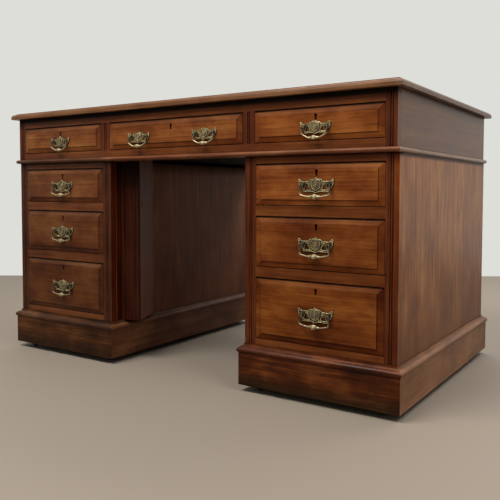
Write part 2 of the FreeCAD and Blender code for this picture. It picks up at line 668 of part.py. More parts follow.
def caster_wheel(trail):
    """Roller with a slightly rounded tread, turning on the axle."""
    half = WHEEL_W / 2
    bore = AXLE_R + AXLE_GAP
    shoulder = WHEEL_R - 0.8
    section = [(-half, bore), (-half, shoulder), ((0.0, WHEEL_R), (half, shoulder)), (half, bore)]
    y = trail * TRAIL
    face = outline(section, lambda u, r: V(u, y + r, WHEEL_R))
    return face.revolve(V(0, y, WHEEL_R), V(1, 0, 0), 360)


def build_case():
    save("top_board", [top_board()])
    save("frieze_case", frieze_case())
    save("frieze_frame", frieze_frame())
    save("frieze_runners", frieze_runners())
    save("waist_moulding", waist_moulding())
    for side, s in SIDES:
        save(side + "_sides", pedestal_sides(s))
        save(side + "_frame", pedestal_frame(s))
        save(side + "_inside", pedestal_inside(s))
        save(side + "_plinth", plinth(s))
    save("pedestal_backs", [pedestal_back(s) for _, s in SIDES])
    save("kneehole_pilaster", [pilaster()])


def build_drawer(name, x0, x1, z0, z1, front_y, handle, pivot_z, handle_x):
    """One drawer's wood, its brass and a bail for each handle, given as scale, bail side and drop."""
    middle = (x0 + x1) / 2
    face = front_y - FIELD_RISE
    k = handle[0]
    save("drawer_" + name, drawer(x0, x1, z0, z1, front_y, middle))
    brass = [drawer_lock(front_y, z1, middle)]
    for tag, x in handle_x:
        brass += [placed(part, x, face, pivot_z) for part in [handle_plate(k)] + handle_posts(k)]
        save("bail_" + name + tag, [placed(handle_bail(*handle), x, face, pivot_z)])
    save("brass_" + name, brass)


def build_drawers():
    frieze_pivot = (FRIEZE_Z0 + FRIEZE_Z1) / 2 - FRIEZE_PIVOT_DOWN
    large = (1.0, BAIL_SIDE, BAIL_DROP)
    small = (FRIEZE_HANDLE_SCALE, FRIEZE_BAIL_SIDE, FRIEZE_BAIL_DROP)
    for side, s in SIDES:
        x0, x1 = sorted((s * DRAWER_X0, s * DRAWER_X1))
        for level, (z0, z1) in zip(LEVELS, opening_levels()):
            build_drawer(side + "_" + level, x0, x1, z0, z1, PED_FRONT, large, (z0 + z1) / 2,
                         [("", s * DRAWER_MID)])
        build_drawer("frieze_" + side, x0, x1, FRIEZE_Z0, FRIEZE_Z1, FRIEZE_FRONT, small, frieze_pivot,
                     [("", s * DRAWER_MID)])
    pair = [("_" + side, s * FRIEZE_HANDLE_X) for side, s in SIDES]
    build_drawer("frieze_middle", -FRIEZE_MUNTIN_X, FRIEZE_MUNTIN_X, FRIEZE_Z0, FRIEZE_Z1, FRIEZE_FRONT,
                 small, frieze_pivot, pair)


def build_casters():
    sockets = []
    for side, s in SIDES:
        for place, x, y, trail in caster_places(s):
            name = "caster_" + side + "_" + place
            save(name + "_fork", [placed(part, x, y, 0) for part in caster_fork(trail)])
            save(name + "_wheel", [placed(caster_wheel(trail), x, y, 0)])
            sockets.append(placed(caster_socket(), x, y, BLOCK_Z - SOCKET_PLATE_T))
    save("caster_sockets", sockets)


os.makedirs("parts", exist_ok=True)
build_case()
build_drawers()
build_casters()
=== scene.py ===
import math

import bmesh
import bpy
from mathutils import Matrix, Vector


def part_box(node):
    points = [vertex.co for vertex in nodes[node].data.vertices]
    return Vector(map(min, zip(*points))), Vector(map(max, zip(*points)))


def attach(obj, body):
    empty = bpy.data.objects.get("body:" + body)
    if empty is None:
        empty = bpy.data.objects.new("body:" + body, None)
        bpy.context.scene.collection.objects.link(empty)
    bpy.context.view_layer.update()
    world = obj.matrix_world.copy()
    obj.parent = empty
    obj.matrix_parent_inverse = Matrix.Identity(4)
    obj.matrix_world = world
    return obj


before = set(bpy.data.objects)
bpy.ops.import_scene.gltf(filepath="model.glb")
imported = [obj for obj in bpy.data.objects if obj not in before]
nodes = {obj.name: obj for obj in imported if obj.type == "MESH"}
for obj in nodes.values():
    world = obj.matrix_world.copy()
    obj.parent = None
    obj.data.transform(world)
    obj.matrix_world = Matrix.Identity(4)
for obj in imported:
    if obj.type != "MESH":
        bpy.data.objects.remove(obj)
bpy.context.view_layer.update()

# Camera, as the photograph was taken
EYE = (1.20427, -1.82122, 0.53383)
EYE_TURN = 33.414           # degrees, from +Y towards -X
EYE_DOWN = 2.770
EYE_ROLL = 0.094
LENS = 47.03                # millimetres on a 36 mm wide sensor
SHIFT = (0.004, -0.0552)

# Sizes of the desk that the finishes follow, in metres
FRONT_T = 0.020             # drawer front without its raised field
FIELD_RISE = 0.0035
BEVEL_SIDE_W = 0.0165       # bevelled border of a drawer front
BEVEL_EDGE_W = 0.0135
FRONT_FOOT = 0.0022         # drawer front above the foot of the drawer's sides
LINING_T = 0.010
TAIL_W = 0.022              # dovetails of the drawer sides
TAIL_FLARE = 0.003
TAIL_LAP = 0.006
TAIL_FOOT = 0.0162          # lowest tail above the foot of the drawer's sides
TAIL_HEAD = 0.003           # drawer sides below the drawer front's upper edge
STILE_W = 0.0335
MUNTIN = (0.243, 0.2805)    # upright between two frieze drawers, from the middle
FRIEZE_OPENING = (0.656, 0.740)
FRIEZE_STILE_X = 0.6375
FRIEZE_END_X = 0.646
KNEEHOLE_X = 0.30           # boards nearer to the middle than this face the kneehole
KNEEHOLE_WALL = 0.2475
KNEEHOLE_DARK_Z = 0.53      # painted shade at the head of the kneehole's mouth, and over what height it deepens
KNEEHOLE_DARK_H = 0.09
KNEEHOLE_GLOOM_Z = 0.584    # the same on the walls behind the mouth
KNEEHOLE_GLOOM_H = 0.05
GLOOM_MOST = 0.8
POST_FRONT_Y = -0.336       # painted shade on the kneehole's sides is darkest in front of the post
POST_FACE_Y = -0.318        # the post's round nose ends here
POST_FACE_D = 0.012
WIDE_DRAWER = 0.4           # the drawer wider than this has two handles
WIDE_HANDLE_X = 0.120
HANDLE_SHADOW_AND_DIRT = (0.052, 0.030, 0.014)      # painted shadow below a handle and dirt round it: half width, half height, how far down
CORNER_FROM = 0.75          # paler corner of a stile: where it starts, in shares of the stile's width
CORNER_OVER = 0.5
CORNER_Z = 0.2              # below this the corner is as dark as the rest
CORNER_H = 0.2
SCUFF_Z = 0.042             # scuffed foot of a plinth
SCUFF_H = 0.034
REED_D = 0.0016             # depth at which a reed is as dark as it gets
REED_EDGE = 0.001
HEAD_LINE_H = 0.007         # height over which a line of painted shade and dust deepens
FRIEZE_LINE = 0.017         # lines of painted shade and dust under the top and under the waist
FRAME_LINE = 0.007
SKIN = 0.0006               # faces as near as this to an end are on it
UNDER_SKIN = 0.0008
LEFT_FADE = 0.03            # width over which the frieze turns darker and greyer: painted shade and dust
SIDE_LINE = 0.012           # dark line of painted shade and dust along the head of a pedestal's end
TOP_END_W = 0.016           # greyed strip along the ends of the top
BOARD_W = 0.262             # boards that the wide panels are glued up from
FRIEZE_HANDLE_SCALE = 0.86


class Value:
    """One output socket. Arithmetic on it adds Math nodes."""

    def __init__(self, shading, socket):
        self.shading = shading
        self.socket = socket

    def maths(self, operation, *terms):
        return self.shading.node("Math", {"operation": operation}, dict(enumerate(terms)))

    def __add__(self, other):
        return self.maths("ADD", self, other)

    def __radd__(self, other):
        return self.maths("ADD", other, self)

    def __sub__(self, other):
        return self.maths("SUBTRACT", self, other)

    def __rsub__(self, other):
        return self.maths("SUBTRACT", other, self)

    def __mul__(self, other):
        return self.maths("MULTIPLY", self, other)

    def __rmul__(self, other):
        return self.maths("MULTIPLY", other, self)

    def __truediv__(self, other):
        return self.maths("DIVIDE", self, other)

    def __lt__(self, other):
        return self.maths("LESS_THAN", self, other)

    def __gt__(self, other):
        return self.maths("GREATER_THAN", self, other)

    def __abs__(self):
        return self.maths("ABSOLUTE", self)

    def floor(self):
        return self.maths("FLOOR", self)

    def least(self, other):
        return self.maths("MINIMUM", self, other)

    def most(self, other):
        return self.maths("MAXIMUM", self, other)


class Shading:
    """A node tree. node() adds any node and gives back one of its outputs."""

    def __init__(self, tree):
        self.tree = tree

    def node(self, kind, settings=None, sockets=None, output=0):
        node = self.tree.nodes.new("ShaderNode" + kind)
        for key, value in (settings or {}).items():
            if key == "stops":
                ramp = node.color_ramp
                for place, colour in value[len(ramp.elements):]:
                    ramp.elements.new(place)
                for element, (place, colour) in zip(ramp.elements, value):
                    element.position = place
                    element.color = colour
            else:
                setattr(node, key, value)
        for key, value in (sockets or {}).items():
            self.feed(node.inputs[key], value)
        return Value(self, node.outputs[output])

    def feed(self, socket, value):
        if isinstance(value, Value):
            self.tree.links.new(value.socket, socket)
        else:
            socket.default_value = value

    def parts(self, vector):
        """The x, y and z of a vector."""
        return [self.node("SeparateXYZ", None, {0: vector}, axis) for axis in range(3)]

    def noise(self, x, y, z, detail=2.0, rough=0.5):
        point = self.node("CombineXYZ", None, {0: x, 1: y, 2: z})
        return self.node("TexNoise", {"noise_dimensions": "3D"},
                         {"Vector": point, "Scale": 1.0, "Detail": detail, "Roughness": rough})

    def between(self, value, low, high, start=0.0, end=1.0):
        """Value carried from low..high to start..end, and held at the ends."""
        return self.node("MapRange", {"interpolation_type": "SMOOTHSTEP"},
                         {0: value, 1: low, 2: high, 3: start, 4: end})

    def blend(self, share, first, second):
        return self.node("Mix", {"data_type": "RGBA"}, {0: share, 6: first, 7: second}, 2)

    def stain(self, colour, share, with_colour):
        """Colour multiplied by another, as far as share says."""
        return self.node("Mix", {"data_type": "RGBA", "blend_type": "MULTIPLY"},
                         {0: share, 6: colour, 7: with_colour}, 2)


class Finish(Shading):
    """A material of the desk."""

    def __init__(self, name):
        self.material = bpy.data.materials.new(name)
        self.material.use_nodes = True
        super().__init__(self.material.node_tree)
        self.surface = self.tree.nodes["Principled BSDF"]

    def surface_is(self, **sockets):
        """Set the surface's sockets, written with _ for the spaces in their names."""
        for key, value in sockets.items():
            self.feed(self.surface.inputs[key.replace("_", " ")], value)

    def place(self):
        """The point on the piece, in metres of the desk at rest: x, y, z."""
        return self.parts(self.node("TexCoord", output="Object"))

    def specks(self, scale, detail=2.0, rough=0.5):
        """Noise that is as fine in all directions."""
        return self.noise(*(axis * scale for axis in self.place()), detail, rough)

    def recess(self, reach):
        """1 deep in a corner, 0 on an open face."""
        open_share = self.node("AmbientOcclusion", {"samples": 8}, {"Distance": reach}, "AO")
        return 1.0 - open_share

    def polish(self, front, ends, top):
        """Coat that differs by the way a face looks."""
        x, y, z = self.parts(self.node("TexCoord", output="Normal"))
        return x * x * ends + y * y * front + z * z * top

    def bump(self, height, depth):
        return self.node("Bump", None, {"Strength": 1.0, "Distance": depth, "Height": height})


def paint(red, green, blue):
    """Linear colour from the 0 to 255 values of a paint chart."""
    def linear(value):
        share = value / 255.0
        return share / 12.92 if share <= 0.04045 else ((share + 0.055) / 1.055) ** 2.4
    return (linear(red), linear(green), linear(blue), 1.0)


# Ways the grain runs: each gives the place along the grain and the two across it

def grain_along_x(x, y, z):
    return x, y, z


def grain_along_y(x, y, z):
    return y, x, z


def grain_along_z(x, y, z):
    return z, x, y


def grain_where(mask, there, elsewhere):
    """Grain that turns where the mask is 1, as at the joint between two boards."""
    def grain(x, y, z):
        turned = mask(x, y, z)
        pairs = zip(there(x, y, z), elsewhere(x, y, z))
        return [other + turned * (here - other) for here, other in pairs]
    return grain


def rise(value, start, over):
    """0 up to start, then up to 1 over the given length."""
    return ((value - start) / over).least(1.0).most(0.0)


def mitred_ends(node):
    """1 on the boards along Y of a mitred frame."""
    low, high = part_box(node)
    half, middle = (high - low) / 2, (high + low) / 2

    def mask(x, y, z):
        return (half.x - abs(x - middle.x)) < (half.y - abs(y - middle.y))
    return mask


def pedestal_stiles(node):
    low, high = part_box(node)

    def mask(x, y, z):
        return abs(x - (low.x + high.x) / 2) > (high.x - low.x) / 2 - STILE_W
    return mask


def outer_corner(node):
    """1 on the outer half of the stile at the desk's end, fading towards the floor."""
    low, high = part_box(node)
    edge = max(high.x, -low.x) - STILE_W * CORNER_FROM

    def mask(x, y, z):
        return rise(abs(x), edge, STILE_W * CORNER_OVER) * rise(z, CORNER_Z, CORNER_H)
    return mask


def scuffed_foot(node):
    """1 along the lower edge of the front and back boards of a plinth."""
    along_y = mitred_ends(node)
    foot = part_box(node)[0].z

    def mask(x, y, z):
        return rise(foot + SCUFF_Z - z, 0.0, SCUFF_H) * (1.0 - along_y(x, y, z))
    return mask


def frieze_uprights(x, y, z):
    out = abs(x)
    low, high = FRIEZE_OPENING
    muntin = (out > MUNTIN[0]) * (out < MUNTIN[1]) * (z > low) * (z < high)
    return (out > FRIEZE_STILE_X).most(muntin)


def grooves(node):
    """1 deep in the reeds of a frame and round its openings, 0 on its front face: where their shade is
    painted.
    """
    low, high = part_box(node)

    def mask(x, y, z):
        inside = abs(x - (low.x + high.x) / 2) < (high.x - low.x) / 2 - REED_EDGE
        return rise(y, low.y, REED_D) * inside
    return mask


def shade_and_dust_line(node, deep):
    """1 along the upper edge of a frame, under the moulding above it, where shade is painted together
    with dust.
    """
    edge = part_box(node)[1].z - deep

    def mask(x, y, z):
        return rise(z, edge, HEAD_LINE_H)
    return mask


def frame_ends(node, deep=SKIN):
    """1 on the outer edge of a frame or board, at the desk's end."""
    low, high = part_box(node)
    outer = max(high.x, -low.x)

    def mask(x, y, z):
        return abs(x) > outer - deep
    return mask


def both(first, second):
    """1 where two masks are."""
    def mask(x, y, z):
        return first(x, y, z) * second(x, y, z)
    return mask


def everywhere(x, y, z):
    return 1.0


def kneehole_face(x, y, z):
    return abs(x) < KNEEHOLE_X


def kneehole_edge(x, y, z):
    return abs(x) < KNEEHOLE_WALL


def kneehole_mouth(x, y, z):
    return (abs(x) < KNEEHOLE_X) * (y < POST_FRONT_Y)


def post_face(x, y, z):
    return rise(y, POST_FACE_Y, POST_FACE_D)


def kneehole_head(x, y, z):
    """1 at the head of the kneehole's mouth, where shade under the frieze is painted."""
    return rise(z, KNEEHOLE_DARK_Z, KNEEHOLE_DARK_H) * (abs(x) < KNEEHOLE_X) * (y < POST_FACE_Y)


def kneehole_gloom(x, y, z):
    """Towards 1 along the head of the kneehole's walls, where shade under the frieze is painted."""
    return rise(z, KNEEHOLE_GLOOM_Z, KNEEHOLE_GLOOM_H).least(GLOOM_MOST) * (abs(x) < KNEEHOLE_X)


def left_third(x, y, z):
    return rise(-MUNTIN[0] - x, 0.0, LEFT_FADE)


def desk_ends(x, y, z):
    return abs(x) > FRIEZE_END_X


def underside(node):
    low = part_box(node)[0].z

    def mask(x, y, z):
        return z < low + UNDER_SKIN
    return mask


def kneehole_board(node):
    """1 on the board of a mitred frame that shows in the kneehole."""
    along_y = mitred_ends(node)

    def mask(x, y, z):
        return along_y(x, y, z) * (abs(x) < KNEEHOLE_X)
    return mask


def outer_end(node):
    """1 on the boards of a mitred frame that show at the desk's end."""
    along_y = mitred_ends(node)

    def mask(x, y, z):
        return along_y(x, y, z) * (abs(x) > FRIEZE_STILE_X)
    return mask


def board_of_depth(x, y, z):
    return y


def board_of_width(x, y, z):
    return x


# Mahogany in the tones that light and years have left on the desk, and tones of painted shade: dark,
# middle, light
TONES = {
    "front": (paint(95, 43, 14), paint(131, 70, 28), paint(161, 98, 45)),
    "rail": (paint(74, 32, 11), paint(104, 54, 22), paint(130, 75, 36)),
    "stile": (paint(54, 19, 7), paint(82, 36, 15), paint(108, 54, 26)),
    "corner": (paint(70, 27, 8), paint(104, 47, 16), paint(138, 72, 28)),
    # Darker and greyer on the left of the desk: painted shade and dust
    "dusty_rail": (paint(70, 33, 14), paint(101, 55, 27), paint(127, 76, 43)),
    "dusty_stile": (paint(47, 20, 10), paint(70, 35, 18), paint(92, 51, 30)),
    # Dark tone in reeds, round openings and along the heads of the ends: painted shade
    "groove": (paint(36, 13, 5), paint(56, 23, 9), paint(74, 34, 15)),
    # Near-black: painted shade under the frieze and at the head of the kneehole, and painted shade with
    # dust in the lines under the top and the waist
    "grime": (paint(16, 9, 6), paint(23, 14, 10), paint(31, 20, 15)),
    "plinth": (paint(38, 13, 4), paint(76, 34, 12), paint(122, 66, 29)),
    # Tone of the left plinth: painted shade and dust
    "dusty_plinth": (paint(38, 17, 7), paint(77, 43, 20), paint(120, 77, 42)),
    "scuffed": (paint(34, 18, 7), paint(50, 30, 14), paint(70, 46, 24)),
    "plinth_kneehole": (paint(68, 36, 19), paint(96, 58, 34), paint(128, 84, 54)),
    "plinth_end": (paint(97, 60, 36), paint(130, 87, 57), paint(158, 112, 78)),
    "side": (paint(98, 53, 25), paint(150, 97, 57), paint(194, 143, 95)),
    "end": (paint(74, 45, 28), paint(101, 67, 45), paint(124, 88, 62)),
    "kneehole": (paint(104, 64, 44), paint(136, 89, 63), paint(163, 113, 84)),
    # Dark red of the kneehole's mouth and of the frames' kneehole edges: painted shade
    "mouth": (paint(57, 19, 8), paint(79, 29, 11), paint(102, 42, 18)),
    "post": (paint(40, 15, 7), paint(60, 26, 14), paint(80, 39, 24)),
    "post_face": (paint(88, 46, 26), paint(114, 63, 37), paint(136, 80, 50)),
    "top": (paint(72, 42, 24), paint(102, 65, 39), paint(130, 91, 60)),
    "top_end": (paint(78, 54, 40), paint(108, 80, 61), paint(138, 110, 89)),
    "moulding": (paint(78, 40, 21), paint(116, 68, 41), paint(148, 98, 66)),
    # Darker and greyer on the left third of the waist: painted shade and dust
    "left_shade_dust_moulding": (paint(54, 29, 18), paint(80, 49, 33), paint(106, 72, 52)),
    "moulding_end": (paint(92, 62, 44), paint(128, 94, 70), paint(158, 124, 98)),
    "back": (paint(90, 58, 36), paint(122, 84, 56), paint(150, 112, 80)),
}
# Drawers one by one: a tint on a fresh front's tone, darker and greyer on the left and lower down as
# painted shade and dust, its polish, how dark the painted shade on its bevels is, and how dark the
# painted shadow and dirt round its handle are
DRAWER_SHADE_AND_AGE = {
    "left_upper": (paint(197, 202, 226), 0.12, 0.7, 0.4),
    "left_middle": (paint(184, 186, 210), 0.12, 0.7, 0.45),
    "left_lower": (paint(168, 171, 186), 0.12, 0.7, 0.45),
    "frieze_left": (paint(234, 247, 255), 0.12, 0.6, 0.1),
    "frieze_middle": (paint(223, 223, 230), 0.05, 0.6, 0.1),
    "frieze_right": (paint(240, 235, 227), 0.03, 0.5, 0.1),
    "right_upper": (paint(255, 255, 255), 0.04, 0.5, 0.25),
    "right_middle": (paint(216, 206, 198), 0.03, 0.6, 0.5),
    "right_lower": (paint(221, 214, 194), 0.03, 1.0, 0.5),
}
# Painted shade on a drawer's bevels
BEVEL_SHADE = paint(180, 146, 130)
# Painted highlight on a drawer's upper bevel
BEVEL_HIGHLIGHT = paint(176, 128, 92)
# Stain that darkens the wood towards the floor: painted shade and dirt
FLOOR_SHADE_AND_DIRT = paint(178, 150, 128)
ASH = (paint(126, 92, 56), paint(164, 128, 84), paint(190, 156, 110))
PINE = (paint(128, 90, 52), paint(168, 128, 80), paint(196, 160, 108))
WORN = paint(166, 112, 72)
# Near-black stain for painted shade in corners, in steps and below rails and handles, and for dirt
# round the handles
SHADE_AND_DIRT = paint(30, 15, 8)


# Figure of the wood: waves per metre along and across the grain, detail and roughness of the noise
SWAY = (1.6, 7.0, 2.0, 0.5)
BANDS = (0.9, 34.0, 4.0, 0.72)
STREAKS = (4.5, 210.0, 4.0, 0.62)
FIBRES = (18.0, 900.0, 2.0, 0.6)
PORES = (60.0, 1500.0, 1.0, 0.5)
CLOUDS = (7.0, 11.0, 3.0, 0.62)
SWAY_OUT = 0.035            # metres that the grain wanders
SEED_STEP = 7.31            # how far apart the pieces lie in the noise
BOARD_STEP = 3.7
PORE_D = 0.00012


class Wood:
    """The figure of one kind of wood on one piece: its tone, pores and fibres."""

    def __init__(self, finish, grain, seed, boards=None, cloudy=0.5, broad=0.5):
        self.finish = finish
        x, y, z = finish.place()
        along, across, deep = grain(x, y, z)
        self.point = (x, y, z)
        if boards is not None:
            number = (boards(x, y, z) / BOARD_W + 0.37 * seed).floor()
            along = along + number * BOARD_STEP

        def figure(scale):
            lengthways, crossways, detail, rough = scale
            return finish.noise(along * lengthways + seed * SEED_STEP, across * crossways,
                                deep * crossways, detail, rough)

        sway = (figure(SWAY) - 0.5) * SWAY_OUT
        across = across + sway
        deep = deep + sway * 0.7
        bands = figure(BANDS)
        self.streaks = figure(STREAKS)
        self.fibres = figure(FIBRES)
        self.pores = finish.between(figure(PORES), 0.60, 0.72)
        self.clouds = figure(CLOUDS)
        self.tone = (bands * broad + self.streaks * (0.95 - broad)
                     + (self.clouds - 0.5) * cloudy + 0.025)
        if boards is not None:
            self.tone = self.tone + (finish.noise(number * 1.7 + seed, 0.0, 0.0) - 0.5) * 0.3

    def coloured(self, tones):
        dark, middle, light = tones
        colour = self.finish.node("ValToRGB", {"stops": [(0.3, dark), (0.5, middle), (0.7, light)]},
                                  {0: self.tone})
        colour = self.finish.stain(colour, self.finish.between(self.fibres, 0.3, 0.7, 0.0, 0.16), dark)
        return self.finish.stain(colour, self.pores * 0.34, dark)

    def relief(self):
        return self.finish.bump(self.fibres * 0.5 - self.pores * 0.8, PORE_D)

    def dullness(self):
        """Roughness of the polish where it differs from the mean."""
        return (self.clouds - 0.5) * 0.24 + (self.streaks - 0.5) * 0.14


CASE_ROUGH, FRONT_ROUGH = 0.40, 0.38
CASE_REACH, FRONT_REACH = 0.016, 0.008      # how far into a corner painted shade reaches, in metres
OLD_POLISH = 0.07
# extra roughness where the near-black tone of painted shade and dirt lies
SHADE_AND_DIRT_MATT = 0.5
FLOOR_SHADE_AND_DIRT_Z = (0.10, 0.56)        # heights between which the darkening towards the floor, painted shade and dirt, thins out
FLOOR_SHADE_AND_DIRT_MOST = 0.85


def mahogany(name, tone, grain, seed, boards=None, cloudy=0.5, broad=0.5, apart=(), foot=None,
             worn=0.0, polish=(0.03, 0.25, 0.3)):
    """Old polished mahogany. Apart lists places with their own tone and share of the polish;
    foot is where the wood darkens towards the floor, painted shade and dirt; polish is the coat on the
    front, ends and top."""
    finish = Finish(name)
    wood = Wood(finish, grain, seed, boards, cloudy, broad)
    colour = wood.coloured(TONES[tone])
    coat = finish.polish(*polish)
    matt = 0.0
    for mask, other_tone, share in apart:
        there = mask(*wood.point)
        colour = finish.blend(there, colour, wood.coloured(TONES[other_tone]))
        coat = coat * (1.0 - there * (1.0 - share))
        if other_tone == "grime":
            matt = there * SHADE_AND_DIRT_MATT + matt
    # Darker towards the floor: painted shade and dirt
    if foot is not None:
        ragged = wood.point[2] + (wood.clouds - 0.5) * 0.16
        risen = finish.between(ragged, *FLOOR_SHADE_AND_DIRT_Z, FLOOR_SHADE_AND_DIRT_MOST, 0.0)
        colour = finish.stain(colour, risen * foot(*wood.point), FLOOR_SHADE_AND_DIRT)
    if worn:
        patches = finish.between(wood.clouds + (wood.streaks - 0.5) * 0.6, 0.42, 0.66)
        colour = finish.blend(patches * worn, colour, WORN)
    # Painted shade: darker deep in corners and recesses, where less light reaches
    corners = finish.between(finish.recess(CASE_REACH), 0.12, 0.75)
    colour = finish.stain(colour, corners * 0.8, SHADE_AND_DIRT)
    dull = wood.dullness() + corners * 0.25 + matt
    finish.surface_is(Base_Color=colour, Roughness=dull + CASE_ROUGH, Normal=wood.relief(),
                      Coat_Weight=coat * (1.0 - corners))
    finish.surface_is(Coat_Roughness=0.3, Specular_IOR_Level=OLD_POLISH)
    return finish.material


# Bevelled border of a drawer front, in metres from the edge of its raised field
BEVEL_DARK = (0.25, 0.9, 0.8)       # painted shade on the left, right and lower bevels: how dark each is
BEVEL_LINE = (-0.0012, 0.0022)
# Painted shadow in the step round the raised field: where it lies and how wide it is
QUIRK_OFF = 0.0006
QUIRK_LINE = (0.0004, 0.0024)
TOP_LINE = (0.0032, 0.0012)         # painted shadow of the rail as a dark line below the front's upper edge


def lining_share(node):
    """1 on a drawer's lining, 0 on its front, with the dovetails told apart."""
    low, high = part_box(node)
    behind = low.y + FIELD_RISE + FRONT_T
    lap = low.y + FIELD_RISE + TAIL_LAP
    foot, head = low.z + TAIL_FOOT, high.z - TAIL_HEAD
    count = max(2, int((head - foot) // (TAIL_W * 1.7)))
    pitch = (head - foot) / count
    middle = (low.x + high.x) / 2
    half = (high.x - low.x) / 2

    def share(x, y, z):
        step = (z - foot) / pitch
        off = abs(step - step.floor() - 0.5) * pitch
        flare = (y - lap) * (TAIL_FLARE / (behind - lap))
        tail = (off < TAIL_W / 2 - flare) * (abs(x - middle) > half - LINING_T) * (y > lap)
        return (y > behind).most(tail * (z > foot) * (z < head))
    return share


def drawer_wood(name, node, seed, shade_and_age):
    """A drawer: mahogany front with a bevelled border, and a pale ash lining."""
    finish = Finish(name)
    front = Wood(finish, grain_along_x, seed, cloudy=0.9)
    lining = Wood(finish, grain_along_y, seed + 0.5)
    x, y, z = front.point
    low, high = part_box(node)
    colour = front.coloured(TONES["front"])
    left, polish, dark, handle_shadow_and_dirt = shade_and_age
    # The drawer's tint: darker and greyer on the left and lower down, painted shade and dust
    colour = finish.stain(colour, 1.0, left)
    foot = low.z + FRONT_FOOT
    middle_x, middle_z = (low.x + high.x) / 2, (foot + high.z) / 2
    off_x = abs(x - middle_x) - ((high.x - low.x) / 2 - BEVEL_SIDE_W)
    off_z = abs(z - middle_z) - ((high.z - foot) / 2 - BEVEL_EDGE_W)
    off = off_x.most(off_z)
    beside = off_x > off_z
    right = x > middle_x
    lower = z < middle_z
    # Painted shade on the lower and side bevels, darkest on the right
    on_left, on_right, on_lower = BEVEL_DARK
    on_sides = beside * (right * (on_right - on_left) + on_left)
    shaded = (on_sides + (1.0 - beside) * lower * on_lower) * dark
    bevel = finish.between(off + (front.clouds - 0.5) * 0.004, *BEVEL_LINE)
    colour = finish.stain(colour, bevel * shaded, BEVEL_SHADE)
    # Painted highlight on the upper bevel
    upper = bevel * (1.0 - beside) * (1.0 - lower)
    colour = finish.blend(upper * front.clouds * 0.16, colour, BEVEL_HIGHLIGHT)
    # Painted shadow in the step round the raised field, darker where the bevels are painted darker
    step_shadow = finish.between(abs(off - QUIRK_OFF), *QUIRK_LINE, 1.0, 0.0)
    colour = finish.stain(colour, step_shadow * (shaded * 0.55 + 0.12), SHADE_AND_DIRT)
    # Painted shadow of the rail above, as a dark line below the front's upper edge
    head = finish.between(z, high.z - TOP_LINE[0], high.z - TOP_LINE[1])
    colour = finish.stain(colour, head * 0.9, SHADE_AND_DIRT)
    # Painted shadow below the handle, with dirt round it
    from_handle = abs(x - middle_x)
    if high.x - low.x > WIDE_DRAWER:
        from_handle = abs(from_handle - WIDE_HANDLE_X)
    half_w, half_h, sunk = HANDLE_SHADOW_AND_DIRT
    across, down = from_handle / half_w, (z - middle_z + sunk) / half_h
    reach = across * across + down * down + (front.clouds - 0.5) * 0.8
    colour = finish.stain(colour, finish.between(reach, 0.3, 1.1, handle_shadow_and_dirt, 0.0), SHADE_AND_DIRT)
    share = lining_share(node)(x, y, z)
    colour = finish.blend(share, colour, lining.coloured(ASH))
    # Painted shade: darker deep in corners and recesses
    corners = finish.between(finish.recess(FRONT_REACH), 0.16, 0.7)
    colour = finish.stain(colour, corners * 0.85, SHADE_AND_DIRT)
    dull = front.dullness() + corners * 0.2 + share * 0.2
    finish.surface_is(Base_Color=colour, Roughness=dull + FRONT_ROUGH, Normal=front.relief(),
                      Coat_Weight=polish - share * polish)
    finish.surface_is(Coat_Roughness=0.25, Specular_IOR_Level=OLD_POLISH)
    return finish.material


def pine(name, grain, seed):
    """Unpolished pine of the runners and blocks inside the case."""
    finish = Finish(name)
    wood = Wood(finish, grain, seed)
    # Painted shade: darker deep in corners
    corners = finish.between(finish.recess(0.03), 0.15, 0.85)
    finish.surface_is(Base_Color=finish.stain(wood.coloured(PINE), corners * 0.6, SHADE_AND_DIRT),
                      Roughness=(wood.streaks - 0.5) * 0.2 + 0.62, Normal=wood.relief())
    return finish.material


BRASS_SPOTS, BRASS_CLOUDS, IRON_SPOTS = 260.0, 90.0, 180.0     # per metre
BRASS_REACH = 0.007
BRASS_DIRT = paint(22, 16, 8)


def aged_brass(name, rubbed, tarnish, held=None):
    """Old brass: rubbed on what stands out, brown and dull in the recesses and above the held part."""
    finish = Finish(name)
    spots = finish.specks(BRASS_SPOTS, 4.0, 0.65)
    clouds = finish.specks(BRASS_CLOUDS, 2.0)
    recess = finish.between(finish.recess(BRASS_REACH), 0.04, 0.34)
    patches = finish.between(spots + (clouds - 0.5) * 0.8, 0.42, 0.58)
    dirt = recess * 0.92 + patches * tarnish
    if held is not None:
        dirt = dirt + finish.between(finish.place()[2], *held, 0.0, 0.62)
    dirt = dirt.least(1.0)
    colour = finish.blend(dirt, rubbed, BRASS_DIRT)
    finish.surface_is(Base_Color=colour, Roughness=0.3 + dirt * 0.4, Metallic=0.6 - dirt * 0.4,
                      Normal=finish.bump(spots, 0.0004))
    return finish.material


def dark_iron(name):
    """Blackened iron of the casters, with a little rust."""
    finish = Finish(name)
    spots = finish.specks(IRON_SPOTS, 4.0, 0.6)
    rust = finish.between(spots, 0.5, 0.68)
    colour = finish.blend(rust, paint(92, 86, 80), paint(112, 76, 50))
    finish.surface_is(Base_Color=colour, Roughness=rust * 0.3 + 0.36, Metallic=0.85 - rust * 0.5,
                      Normal=finish.bump(spots, 0.0003))
    return finish.material


# Arrises: how far they are eased, in metres, and how far they are rubbed through to bare wood
CASE_EASE, FRONT_EASE, METAL_EASE = 0.0007, 0.0006, 0.0003
CASE_WORN, FRONT_WORN = 0.4, 0.3
SHARP_ANGLE = 38.0          # degrees above which two faces meet in an arris
SAME_POINT = 2e-5


